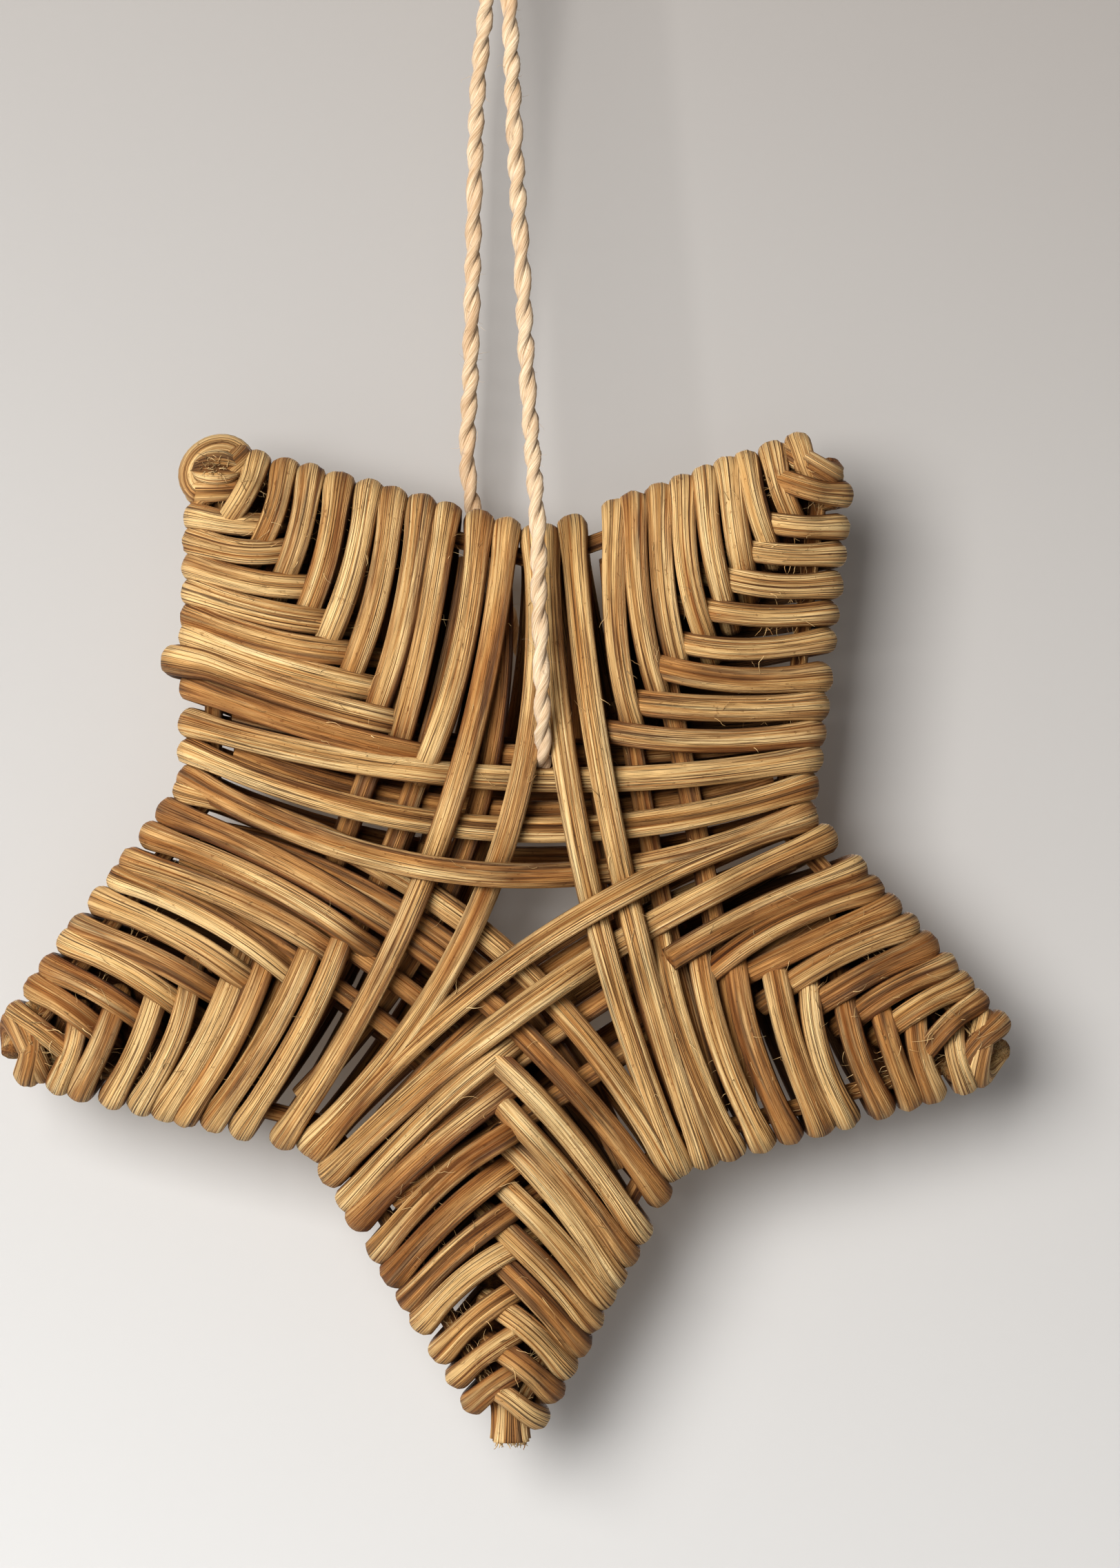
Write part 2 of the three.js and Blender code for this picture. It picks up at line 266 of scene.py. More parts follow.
def arm_pass(index, hand, share, turn, edge, distance, wobble, radius, bulge=1.0):
    """From the rod to the ridge, and on under the other half's strands."""
    arm = ARMS[index]
    ridge_tip = arm["radius"] - TIP_HALF / math.tan(math.radians(STRAND_SLANT))
    ridge = edge.axis * (ridge_tip + (arm["base"] - ridge_tip) * share + wobble[0])
    ridge_height = RIDGE_TIP + (RIDGE_BASE - RIDGE_TIP) * share ** 0.8
    bow = BOW + BOW_SPREAD * wobble[1]

    def control_from(start):
        return (start + ridge) / 2 - bow * np.linalg.norm(ridge - start) * edge.axis

    start = edge.at(distance)
    for _ in range(2):
        length = float(np.linalg.norm(ridge - start))
        slope = rise_of(ridge_height, length)
        wrap = Wrap(edge, distance, unit(control_from(start) - start), slope, bulge)
        start, first_height = wrap.spot(wrap.let_go)
    line = bezier(start, control_from(start), ridge)
    leaving = unit(line[-1] - line[-3])
    tail = TAIL_AT_TIP + TAIL_GROWTH * share if share < SHORT_TAIL_FROM else SHORT_TAIL
    line = plan_line(np.concatenate([line, ridge + np.linspace(0.5, tail, 12)[:, None] * leaving]))
    run = run_of(line)
    rise = np.clip(run / max(length, 1e-6), 0, 1)
    climb = EARLY_RISE * rise - (EARLY_RISE - 1) * rise ** 4
    heights = first_height + (ridge_height - first_height) * climb
    dip = STRAND_DIAMETER * (DIP_AT_TIP + DIP_GROWTH * share)
    heights -= smoothstep((run - length + DIP_BEFORE) / DIP_LENGTH) * dip
    order = 2 * turn + (0 if hand > 0 else 1) - 100
    return Pass(line, heights, order, radius, [wrap])


def far_edges(valley):
    """The far edges of the two arms beside a valley, which its strands are wound over."""
    return Edge(valley, -1), Edge((valley + 1) % len(ARMS), 1)


def centre_pass(valley, middle, wrap_at, rank, radius):
    """A centre strand's way over one face, from rod to rod."""
    edges = far_edges(valley)
    middle = np.asarray(middle, float)
    places = [edge.at(wrap_at * PITCH) for edge in edges]
    for _ in range(2):
        control = control_through(places[0], middle, places[1])
        wraps = [Wrap(edge, wrap_at * PITCH, unit(control - spot),
                      rise_of(CENTRE_HEIGHT, 0.8 * np.linalg.norm(middle - spot)))
                 for edge, spot in zip(edges, places)]
        places = [wrap.spot(wrap.let_go)[0] for wrap in wraps]
    line = plan_line(bezier(places[0], control, places[1], 80))
    t = np.linspace(0, 1, len(line))
    first, last = [wrap.spot(wrap.let_go)[1] for wrap in wraps]
    return Pass(line, arched(first + (last - first) * t, CENTRE_HEIGHT, t), rank, radius, wraps)


def inner_pass(valley, middle, wrap_at, number, radius):
    """A strand of the layer beneath, from just inside one rod to just inside the other."""
    start, end = [edge.at(wrap_at * PITCH) - INNER_INSET * edge.out for edge in far_edges(valley)]
    line = plan_line(bezier(start, control_through(start, np.asarray(middle, float), end), end, 80))
    heights = arched(INNER_START, CENTRE_HEIGHT - STRAND_DIAMETER, np.linspace(0, 1, len(line)))
    return Pass(line, heights, -200 + number, radius, [])


def crossings(first, second):
    """Where two flat lines cross, as fractional indices on each."""
    p, r = first[:-1], np.diff(first, axis=0)
    q, s = second[:-1], np.diff(second, axis=0)
    base = r[:, None, 0] * s[None, :, 1] - r[:, None, 1] * s[None, :, 0]
    base = np.where(np.abs(base) < 1e-9, 1e-9, base)
    gap = q[None] - p[:, None]
    t = (gap[..., 0] * s[None, :, 1] - gap[..., 1] * s[None, :, 0]) / base
    u = (gap[..., 0] * r[:, None, 1] - gap[..., 1] * r[:, None, 0]) / base
    hits = np.argwhere((t >= 0) & (t < 1) & (u >= 0) & (u < 1))
    return [(i + t[i, j], j + u[i, j]) for i, j in hits]


# Pairs of ranks that cross the other way round
SWAPPED = {(19, 31), (20, 31)}
FLOOR_HEIGHT = STRAND_DIAMETER / 2 + 0.1
BUMP_WIDTH = 2.3
# Crossing strands lie this share of their two radii apart
TOUCHING = 0.93
SETTLE_ROUNDS = 160


def crossing_pairs(passes):
    """Every crossing: the upper strand and the place on it, and the same of the lower one."""
    pairs = []
    boxes = [(p.plan.min(0) - 1, p.plan.max(0) + 1) for p in passes]
    for i, one in enumerate(passes):
        for j in range(i + 1, len(passes)):
            two = passes[j]
            if (boxes[i][0] > boxes[j][1]).any() or (boxes[j][0] > boxes[i][1]).any():
                continue
            one_over = one.order > two.order
            if (min(one.order, two.order), max(one.order, two.order)) in SWAPPED:
                one_over = not one_over
            for a, b in crossings(one.plan, two.plan):
                pairs.append((one, a, two, b) if one_over else (two, b, one, a))
    return pairs


def push(way, centre, amount):
    """Moves a strand up or down round one place, in a smooth bump."""
    reach = int(3 * BUMP_WIDTH / PLAN_STEP)
    lo, hi = max(0, int(centre) - reach), min(len(way.heights), int(centre) + reach + 1)
    at = (np.arange(lo, hi) - centre) * PLAN_STEP
    way.heights[lo:hi] += amount * 0.7 * np.exp(-0.5 * (at / BUMP_WIDTH) ** 2)


def relax(way):
    """Evens out a strand, draws it towards its rest and holds it at the rods."""
    inner = way.heights[1:-1]
    inner += 0.12 * (way.heights[:-2] + way.heights[2:] - 2 * inner)
    inner += 0.01 * (way.rest[1:-1] - inner)
    way.heights[:3] = way.heights[:3] * 0.5 + way.rest[:3] * 0.5
    if len(way.wraps) > 1:
        way.heights[-3:] = way.heights[-3:] * 0.5 + way.rest[-3:] * 0.5


def settle(passes):
    """Lifts and lowers the strands until at each crossing the upper one lies on the lower one."""
    pairs = crossing_pairs(passes)
    for _ in range(SETTLE_ROUNDS):
        for upper, a, lower, b in pairs:
            above, below = upper.heights[int(round(a))], lower.heights[int(round(b))]
            lack = TOUCHING * (upper.radius + lower.radius) - (above - below)
            if lack > 0:
                down = min(lack * 0.6, max(below - FLOOR_HEIGHT, 0))
                push(upper, a, lack - down)
                push(lower, b, -down)
        for way in passes:
            relax(way)


def lifted(way, face, toward):
    """A pass's centre line and level side directions, which start out towards the given way."""
    side = quarter(unit(np.gradient(way.plan, axis=0)))
    flip = 1 if side[0] @ toward > 0 else -1
    points = np.column_stack([way.plan, face * way.heights])
    return points, flip * np.column_stack([side, np.zeros(len(side))])


def rod_turn(front, back):
    """Round the rod, from where the front pass lets go to where the back one does."""
    over, over_side = front.points(1)
    under, under_side = back.points(-1)
    flat, _ = front.spot(0)
    behind, _ = back.spot(0)
    outermost = np.append((flat + behind) / 2, 0.0)
    points = np.concatenate([over[::-1], [outermost], under])
    sides = np.concatenate([over_side[::-1], [np.append(front.edge.along, 0)], under_side])
    return points, sides


def joined(stretches):
    """Points, sides and press of stretches that lie in turn on a face and round a rod."""
    press = [np.full((len(points), 1), float(i % 2)) for i, (points, _) in enumerate(stretches)]
    return *(np.concatenate(rows) for rows in zip(*stretches)), np.concatenate(press)


def cut(stretch, part):
    return [rows[part] for rows in stretch]


def strand_route(front, back, closed):
    """An arm's strand turns round one rod. A centre strand goes right round, from mid-back."""
    along = front.wraps[0].edge.along
    over, under = lifted(front, 1, along), lifted(back, -1, along)
    backwards = slice(None, None, -1)
    first = rod_turn(front.wraps[0], back.wraps[0])
    if not closed:
        return joined([cut(over, backwards), first, under])
    last, last_sides = rod_turn(front.wraps[1], back.wraps[1])
    if last_sides[0] @ over[1][-1] < 0:
        last_sides = -last_sides
    half = len(under[0]) // 2
    return joined([cut(under, slice(half, 0, -1)), cut(first, backwards), over, (last, last_sides),
                   cut(under, slice(None, half - 1, -1))])


RING_STEP = 1.0
AROUND = 22
# How much wider and thinner a strand is where a rod presses it flat
PRESS_WIDENS, PRESS_THINS = 0.21, 0.06
END_CAP = 0.35
FLUTE_DEPTH = 0.026


class Builder:
    """Collects tubes and threads for one piece and makes its mesh."""

    def __init__(self, name, slot):
        self.name, self.slot = name, slot
        self.tubes, self.faces = [], []
        self.count = 0

    def add(self, points, grain, look, faces, uvs):
        self.tubes.append((points, grain, look, uvs))
        self.faces += [tuple(self.count + i for i in face) for face in faces]
        self.count += len(points)

    def mesh(self, material):
        points, grains, looks, uvs = zip(*self.tubes)
        mesh = bpy.data.meshes.new(self.name)
        mesh.from_pydata(place(np.concatenate(points)).tolist(), [], self.faces)
        mesh.materials.append(material)
        grain = mesh.attributes.new("grain", "FLOAT_VECTOR", "POINT")
        grain.data.foreach_set("vector", np.concatenate(grains).astype(np.float32).ravel())
        look = mesh.attributes.new("look", "FLOAT_COLOR", "POINT")
        look.data.foreach_set("color", np.concatenate(looks).astype(np.float32).ravel())
        corners = [(u, (row + 0.02 + 0.96 * v) / len(uvs))
                   for row, strip in enumerate(uvs) for face in strip for u, v in face]
        layer = mesh.uv_layers.new(name="strips")
        layer.data.foreach_set("uv", np.array(corners, np.float32).ravel())
        mesh.polygons.foreach_set("use_smooth", np.ones(len(mesh.polygons), bool))
        mesh.update()
        piece = bpy.data.objects.new(self.name, mesh)
        bpy.context.collection.objects.link(piece)
        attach(piece, "root")
        return piece


def tube(builder, points, sides, radius_at, section, look, seed, around=AROUND, seal=True, press=None,
         closed=False):
    """A swept strand. section(angle, run) gives the surface's distance as a share of the radius.

    look is how pale it is, how stained (with painted shade added on some strands), and how much painted shade
    darkens the sides that lie against others; the flute hollows get painted shade too.
    press is how far a rod flattens it at each point, and seal closes its two ends."""
    count = len(points)
    if closed:
        along = unit(np.roll(points, -1, 0) - np.roll(points, 1, 0))
    else:
        along = unit(np.gradient(points, axis=0))
    normal = unit(np.cross(along, sides))
    side = np.cross(normal, along)
    run = run_of(points)
    angle = TAU * np.arange(around) / around
    radii = radius_at(run)
    shape = section(angle[None, :], run[:, None])
    press = np.zeros((count, 1)) if press is None else press[:, None]
    spokes = (side[:, None] * (np.cos(angle) * (1 + PRESS_WIDENS * press))[..., None]
              + normal[:, None] * (np.sin(angle) * (1 - PRESS_THINS * press))[..., None])
    verts = (points[:, None] + (radii[:, None] * shape)[..., None] * spokes).reshape(-1, 3)

    shift = np.random.default_rng(seed).uniform(-500, 500, 3)
    mean = float(radii.mean())
    grain = np.empty((count, around, 3))
    grain[..., 0] = run[:, None] + shift[0]
    grain[..., 1] = mean * np.cos(angle) + shift[1]
    grain[..., 2] = mean * np.sin(angle) + shift[2]
    grain = grain.reshape(-1, 3)

    paleness, stain, side_shade = look
    # Painted shade: the sides that face in, towards the other strands, and the flute hollows are darkened
    # through the look's third channel.
    outward = np.sin(angle) * (1 if (normal[:, 2] * points[:, 2]).sum() > 0 else -1)
    colour = np.ones((count, around, 4))
    colour[..., 0] = paleness
    colour[..., 1] = stain(run)[:, None] if callable(stain) else stain
    unshaded = 1 - side_shade * (1 - np.clip(0.02 + 1.7 * outward, 0, 1))
    colour[..., 2] = np.clip((shape - 0.9) / 0.2, 0, 1) * unshaded
    colour = colour.reshape(-1, 4)

    faces, uvs = [], []
    for i in range(count if closed else count - 1):
        after = (i + 1) % count
        u0, u1 = run[i] / run[-1], 1.0 if after == 0 else run[after] / run[-1]
        for j in range(around):
            k = (j + 1) % around
            faces.append((i * around + j, i * around + k, after * around + k, after * around + j))
            uvs.append(((u0, j / around), (u0, (j + 1) / around), (u1, (j + 1) / around), (u1, j / around)))
    if seal and not closed:
        for end, ring in enumerate((0, count - 1)):
            hub = count * around + end
            for j in range(around):
                a, b = ring * around + j, ring * around + (j + 1) % around
                faces.append((a, b, hub) if end else (b, a, hub))
                uvs.append(((end, j / around), (end, (j + 1) / around), (end, (j + 0.5) / around)))
        verts = np.concatenate([verts, [points[0] - END_CAP * along[0], points[-1] + END_CAP * along[-1]]])
        grain = np.concatenate([grain, [(run[end] + shift[0], shift[1], shift[2]) for end in (0, -1)]])
        colour = np.concatenate([colour, [colour[0], colour[-1]]])
    builder.add(verts, grain, colour, faces, uvs)


def fluted(seed, depth=1.0):
    """A peeled rattan strand's section: round, with shallow flutes that wander along it."""
    rng = np.random.default_rng(seed)
    waves = [(n, rng.uniform(0.2, 1.0), rng.uniform(0, TAU), rng.uniform(-0.02, 0.02)) for n in (3, 5, 7, 9)]
    oval = rng.uniform(0.0, 0.05)
    oval_turn = rng.uniform(0, TAU)
    drift = rng.uniform(-0.02, 0.02)

    def section(angle, run):
        out = 1.0 + oval * np.cos(2 * (angle - oval_turn - drift * run))
        for n, size, phase, wander in waves:
            wave = np.sin(n * angle + phase + n * wander * run)
            out = out + depth * FLUTE_DEPTH * size * (wave - 0.35 * np.abs(wave))
        return out

    return section


def swelling(radius, seed):
    """A radius that swells and shrinks a little along the strand."""
    rng = np.random.default_rng(seed)
    waves = [(rng.uniform(0.02, 0.12), rng.uniform(0, TAU), rng.uniform(0.004, 0.02)) for _ in range(3)]

    def radius_at(run):
        out = np.ones_like(run)
        for rate, phase, size in waves:
            out = out + size * np.sin(rate * run + phase)
        return radius * out

    return radius_at


# Camera
camera_data = bpy.data.cameras.new("camera")
camera_data.sensor_fit = "VERTICAL"
camera_data.sensor_height = SENSOR
camera_data.lens = SENSOR * CAMERA_DISTANCE / (PHOTO_HEIGHT * MM_PER_PIXEL)
camera = bpy.data.objects.new("camera", camera_data)
camera.location = ((STAR_X + VIEW_CENTRE[0]) * MM, -CAMERA_DISTANCE * MM, (STAR_Z + VIEW_CENTRE[1]) * MM)
camera.rotation_euler = (math.pi / 2, 0, 0)
bpy.context.collection.objects.link(camera)
bpy.context.scene.camera = camera


# Materials. A tone runs with a noise's strength or a painted shade's strength, as (strength, colour) stops.
WHITE, BLACK = (1.0, 1.0, 1.0), (0.0, 0.0, 0.0)
RATTAN_TONE = [(0.28, (0.58, 0.320, 0.115)), (0.42, (0.84, 0.555, 0.250)),
               (0.56, (0.95, 0.680, 0.345)), (0.75, (0.98, 0.780, 0.455))]
PALE_RATTAN = (0.96, 0.72, 0.39)
STREAK_TONE = [(0.34, (0.36, 0.19, 0.09)), (0.41, (0.68, 0.52, 0.37)), (0.48, (0.93, 0.89, 0.82)),
               (0.62, WHITE)]
HAIR_LINES = [(0.40, WHITE), (0.43, BLACK)]
HAIR_COLOUR = (0.11, 0.05, 0.02)
STAINED_FROM = [(0.58, BLACK), (0.76, WHITE)]
STAIN_TONE = [(0.38, (0.11, 0.036, 0.011)), (0.5, (0.35, 0.140, 0.034)), (0.62, (0.55, 0.27, 0.085))]
# Painted shade in the grooves and between strands:
GROOVE_SHADE_TONE = [(0.0, (0.20, 0.115, 0.06)), (0.2, (0.62, 0.48, 0.34)), (0.42, WHITE)]
SPECK_TONE = [(0.30, (0.40, 0.27, 0.17)), (0.36, WHITE)]
CRACK_TONE = [(0.27, (0.30, 0.19, 0.11)), (0.32, WHITE)]
JUTE_TONE = [(0.3, (0.36, 0.24, 0.135)), (0.45, (0.62, 0.46, 0.30)), (0.62, (0.80, 0.65, 0.47)),
             (0.8, (0.92, 0.80, 0.63))]
JUTE_SHADE = [(0.35, (0.80, 0.70, 0.62)), (0.6, WHITE)]


class Shading:
    """One material's nodes, and short ways to add to them. A value is a node's output or a number."""

    def __init__(self, name):
        self.made = bpy.data.materials.new(name)
        self.made.use_nodes = True
        self.nodes, self.links = self.made.node_tree.nodes, self.made.node_tree.links
        self.shader = self.nodes["Principled BSDF"]

    def put(self, node, values):
        for socket, value in values.items():
            if hasattr(value, "links"):
                self.links.new(value, node.inputs[socket])
            else:
                node.inputs[socket].default_value = value

    def add(self, kind, values, output=0):
        node = self.nodes.new(kind)
        self.put(node, values)
        return node.outputs[output]

    def attribute(self, name, output):
        node = self.nodes.new("ShaderNodeAttribute")
        node.attribute_name = name
        return node.outputs[output]

    def ramp(self, factor, stops):
        node = self.nodes.new("ShaderNodeValToRGB")
        elements = node.color_ramp.elements
        while len(elements) > 1:
            elements.remove(elements[-1])
        elements[0].position, elements[0].color = stops[0][0], (*stops[0][1], 1)
        for position, colour in stops[1:]:
            elements.new(position).color = (*colour, 1)
        self.put(node, {0: factor})
        return node.outputs[0]

    def mix(self, factor, one, two, blend="MIX"):
        node = self.nodes.new("ShaderNodeMix")
        node.data_type = "RGBA"
        node.blend_type = blend
        self.put(node, {0: factor, 6: one, 7: (*two, 1) if isinstance(two, tuple) else two})
        return node.outputs[2]

    def calculate(self, kind, one, two):
        node = self.nodes.new("ShaderNodeMath")
        node.operation = kind
        self.put(node, {0: one, 1: two})
        return node.outputs[0]

    def noise(self, grain, lengthwise, across, detail, roughness=0.6):
        """Noise in the strand's own coordinates, stretched along it."""
        stretched = self.add("ShaderNodeMapping", {"Vector": grain, "Scale": (lengthwise, across, across)})
        values = {"Vector": stretched, "Scale": 1.0, "Detail": detail, "Roughness": roughness}
        return self.add("ShaderNodeTexNoise", values, "Fac")

    def relief(self, height, strength, depth):
        bump = self.add("ShaderNodeBump", {"Height": height, "Strength": strength, "Distance": depth})
        self.put(self.shader, {"Normal": bump})


def rattan_material(name):
    """Peeled rattan: its tone, lines along it, stains, painted shade in the grooves and between strands,
    specks and cracks.
    """
    look = Shading(name)
    grain = look.attribute("grain", "Vector")
    split = look.nodes.new("ShaderNodeSeparateColor")
    look.put(split, {0: look.attribute("look", "Color")})
    paleness, stain, painted_shade = split.outputs[0], split.outputs[1], split.outputs[2]

    tone = look.ramp(look.noise(grain, 0.035, 0.45, 3.0, 0.55), RATTAN_TONE)
    colour = look.mix(look.calculate("MULTIPLY", paleness, 0.7), tone, PALE_RATTAN)
    streak = look.noise(grain, 0.028, 4.6, 4.0, 0.62)
    colour = look.mix(0.9, colour, look.ramp(streak, STREAK_TONE), "MULTIPLY")
    hair = look.ramp(look.noise(grain, 0.045, 7.0, 2.0, 0.5), HAIR_LINES)
    colour = look.mix(look.calculate("MULTIPLY", hair, 0.85), colour, HAIR_COLOUR)

    # The stain channel carries real stains and, on the rods, the tucked ends and the layer beneath, painted
    # shade.
    patch = look.noise(grain, 0.028, 0.30, 4.0)
    level = look.calculate("ADD", patch, look.calculate("MULTIPLY", stain, 0.27))
    cover = look.calculate("MULTIPLY", look.ramp(level, STAINED_FROM), 0.85)
    colour = look.mix(cover, colour, look.ramp(look.noise(grain, 0.05, 0.9, 3.0), STAIN_TONE))

    # Painted shade: darker in the flute hollows and on the sides that lie against other strands.
    colour = look.mix(0.92, colour, look.ramp(painted_shade, GROOVE_SHADE_TONE), "MULTIPLY")
    speck = look.noise(grain, 0.9, 1.4, 3.0)
    colour = look.mix(0.55, colour, look.ramp(speck, SPECK_TONE), "MULTIPLY")
    crack = look.noise(grain, 2.6, 0.9, 3.0, 0.7)
    colour = look.mix(0.7, colour, look.ramp(crack, CRACK_TONE), "MULTIPLY")
    look.put(look.shader, {"Base Color": colour, "Roughness": 0.62, "Specular IOR Level": 0.35})

    height = look.calculate("ADD", streak, look.calculate("MULTIPLY", hair, -0.5))
    height = look.calculate("ADD", height, look.calculate("MULTIPLY", speck, 0.12))
    look.relief(height, 0.9, 0.0010)
    return look.made


def twine_material():
    look = Shading("jute")
    grain = look.attribute("grain", "Vector")
    fibre = look.noise(grain, 0.25, 5.0, 4.0, 0.65)
    shade = look.ramp(look.noise(grain, 0.05, 0.4, 2.0), JUTE_SHADE)
    colour = look.mix(0.8, look.ramp(fibre, JUTE_TONE), shade, "MULTIPLY")
    look.put(look.shader, {"Base Color": colour, "Roughness": 0.9, "Specular IOR Level": 0.2,
                           "Sheen Weight": 0.25, "Sheen Roughness": 0.5})
    look.relief(fibre, 0.8, 0.0003)
    return look.made


RATTAN = rattan_material("peeled_rattan")
ROD_WOOD = rattan_material("rod_core")
JUTE = twine_material()

# The hanging twine's route, as in the part
TWINE_ROUTE = [
    (5.3, 18.6, 1.2), (5.3, 18.8, 5.0), (5.3, 21.6, 11.4), (5.2, 28.0, 14.6), (5.0, 36.5, 14.4),
    (4.7, 45.0, 12.8), (4.6, 54.0, 11.4), (4.0, 63.2, 10.6), (3.0, 77.0, 9.8), (2.1, 95.3, 9.0),
    (0.9, 116.7, 8.0), (0.2, 134.0, 7.2), (-0.6, 150.0, 6.6), (-1.4, 166.0, 6.2), (-1.7, 174.6, 5.9),
    (-1.7, 178.9, 4.1), (-1.7, 180.6, 0.0), (-1.7, 178.9, -4.1), (-1.7, 174.6, -5.9), (-2.2, 164.0, -6.2),
    (-2.8, 151.0, -6.7), (-3.7, 138.0, -7.2), (-5.0, 125.0, -7.8), (-5.7, 101.0, -9.0), (-6.2, 80.0, -10.6),
    (-6.6, 66.0, -12.0), (-4.4, 54.0, -14.0), (-0.6, 44.0, -16.0), (3.0, 34.0, -16.6), (4.8, 26.4, -15.0),
    (5.2, 21.0, -10.4), (5.3, 18.6, -5.0), (5.3, 18.6, -1.2),
]


def spline(points, per_span=24):
    """A centripetal Catmull-Rom curve through the points."""
    points = np.asarray(points, float)
    padded = np.concatenate([[2 * points[0] - points[1]], points, [2 * points[-1] - points[-2]]])
    knots = np.concatenate([[0], np.cumsum(np.linalg.norm(np.diff(padded, axis=0), axis=1) ** 0.5)])
    out = []
    for i in range(len(points) - 1):
        t = np.linspace(knots[i + 1], knots[i + 2], per_span, endpoint=False)[:, None]
        rows = list(padded[i:i + 4])
        for span, last in ((1, 3), (2, 2), (1, 1)):
            first = i + 1 if last == 1 else i
            rows = [((knots[k + span] - t) * rows[k - first] + (t - knots[k]) * rows[k - first + 1])
                    / (knots[k + span] - knots[k]) for k in range(first, first + last)]
        out.append(rows[0])
    return np.concatenate(out + [points[-1:]])


FIBRE_STEPS = 6


def thread(builder, rng, start, direction, length, radius, keep_near=None, reach=None):
    """A thin loose fibre. It can be kept within reach of a place."""
    points = [np.asarray(start, float)]
    heading = np.asarray(direction, float)
    for _ in range(FIBRE_STEPS - 1):
        heading = unit(heading + rng.normal(size=3) * 0.28)
        step = points[-1] + heading * length / (FIBRE_STEPS - 1)
        if keep_near is not None and np.linalg.norm(step - keep_near) > reach:
            step = keep_near + unit(step - keep_near) * reach
        points.append(step)
    points = np.array(points)
    side = unit(np.cross(np.gradient(points, axis=0), np.array([0.3, 0.2, 1.0])))

    def thinning(run):
        return radius * (1 - 0.7 * run / max(run[-1], 1e-6))

    def smooth_round(angle, run):
        return np.ones(np.broadcast(angle, run).shape)

    seed = int(rng.integers(1 << 30))
    tube(builder, points, side, thinning, smooth_round, (0.8, 0.0, 0.0), seed, 3, False)


TWINE_STEP = 0.5
TWIST_PITCH = 11.0
PLY_OFFSET = 0.50
PLY_RADIUS = 0.90
TWINE_FIBRES = 420
FIBRE_START = 0.9
FIBRE_REACH = 3.2
CORD_POINT_STEP = 2.5


def twine():
    builder = Builder("jute_twine", "twine")
    path = resample(spline(TWINE_ROUTE), TWINE_STEP)
    along = unit(np.gradient(path, axis=0))
    side = unit(np.cross(along, np.array([1.0, 0.02, 0.0])))
    other = np.cross(along, side)
    run = np.arange(len(path)) * TWINE_STEP
    rng = np.random.default_rng(5)
    turn = TAU * run / TWIST_PITCH + 0.5 * np.sin(run * 0.11) + 0.3 * np.sin(run * 0.31 + 1)
    for ply in (0, 1):
        angle = turn + ply * math.pi
        outward = np.cos(angle)[:, None] * side + np.sin(angle)[:, None] * other
        tube(builder, path + PLY_OFFSET * outward, outward, swelling(PLY_RADIUS, 80 + ply),
             fluted(70 + ply, 2.2), (0.5, 0.3, 0.0), 90 + ply, 10)
    for _ in range(TWINE_FIBRES):
        at = int(rng.integers(4, len(path) - 20))
        start = path[at] + FIBRE_START * unit(rng.normal(size=3))
        lean = unit(0.9 * along[at] * rng.choice([-1, 1]) + rng.normal(size=3) * 0.5)
        thread(builder, rng, start, lean, rng.uniform(1.0, 3.4), 0.035, path[at], FIBRE_REACH)
    piece = builder.mesh(JUTE)
    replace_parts(piece, "hanging_twine")
    route = place(resample(path, CORD_POINT_STEP))


# The star: every strand's passes over the front and the back are laid flat, settled, then joined.
# These arms and sides lie beside the top family.
BESIDE_TOP = {(0, -1), (1, 1)}
# The turn that stands off its rod: arm, side and number from the tip
LOOSE = (1, 1, 7)
LOOSE_BULGE = 2.1


def arm_strands(index, rng):
    """The front and back pass of each turn of an arm, from the tip to the middle."""
    starts = {hand: PITCH * (FIRST_ROW_START if (index, hand) in BESIDE_TOP else ARM_START)
              for hand in (1, -1)}
    mean = (Edge(index, 1).length + Edge(index, -1).length - starts[1] - starts[-1]) / 2
    count = int(mean / PITCH + 0.5) + 1
    for turn in range(count):
        for hand in (1, -1):
            edge = Edge(index, hand)
            share = (turn + (0 if hand > 0 else 0.5)) / (count - 0.5)
            distance = edge.length + (starts[hand] - edge.length) * share + rng.normal() * 0.4
            back_distance = distance + rng.normal() * 0.2
            radius = STRAND_DIAMETER / 2 * rng.uniform(0.95, 1.06) * (0.9 + 0.1 * min(1, share * 3))
            bulge = LOOSE_BULGE if (index, hand, turn) == LOOSE else 1.0
            front = arm_pass(index, hand, share, turn, edge, distance, rng.normal(size=2) * (0.35, 0.5),
                             radius, bulge)
            back = arm_pass(index, hand, min(share + 0.5 / count, 1.0), turn, edge, back_distance,
                            rng.normal(size=2) * (0.4, 0.5), radius, bulge)
            yield front, back


def build_star():
    """Every strand: its node, its front and back pass, and whether it goes right round.

    A strand of the layer beneath has its face in place of a back pass."""
    rng = np.random.default_rng(11)
    strands = []
    for index, arm in enumerate(ARMS):
        node = f"arm_winding_{arm['name']}"
        strands += [(node, front, back, False) for front, back in arm_strands(index, rng)]
    for valley, middle, wrap_at, rank in CENTRE_STRANDS:
        radius = STRAND_DIAMETER / 2 * rng.uniform(0.98, 1.06)
        behind = np.asarray(middle) + 2.4 * polar(VALLEYS[valley]["angle"]) + rng.normal(size=2) * 0.5
        strands.append(("centre_weave", centre_pass(valley, middle, wrap_at, rank, radius),
                        centre_pass(valley, behind, wrap_at, rank, radius), True))
    fronts, backs = [front for _, front, _, _ in strands], [back for _, _, back, _ in strands]
    for number, (valley, middle, wrap_at) in enumerate(INNER_STRANDS):
        radius = STRAND_DIAMETER / 2 * rng.uniform(0.85, 0.98)
        for passes, face in ((fronts, 1), (backs, -1)):
            way = inner_pass(valley, np.asarray(middle) + rng.normal(size=2) * 0.9, wrap_at, number, radius)
            passes.append(way)
            strands.append(("centre_weave", way, face, False))
    settle(fronts)
    settle(backs)
    return strands


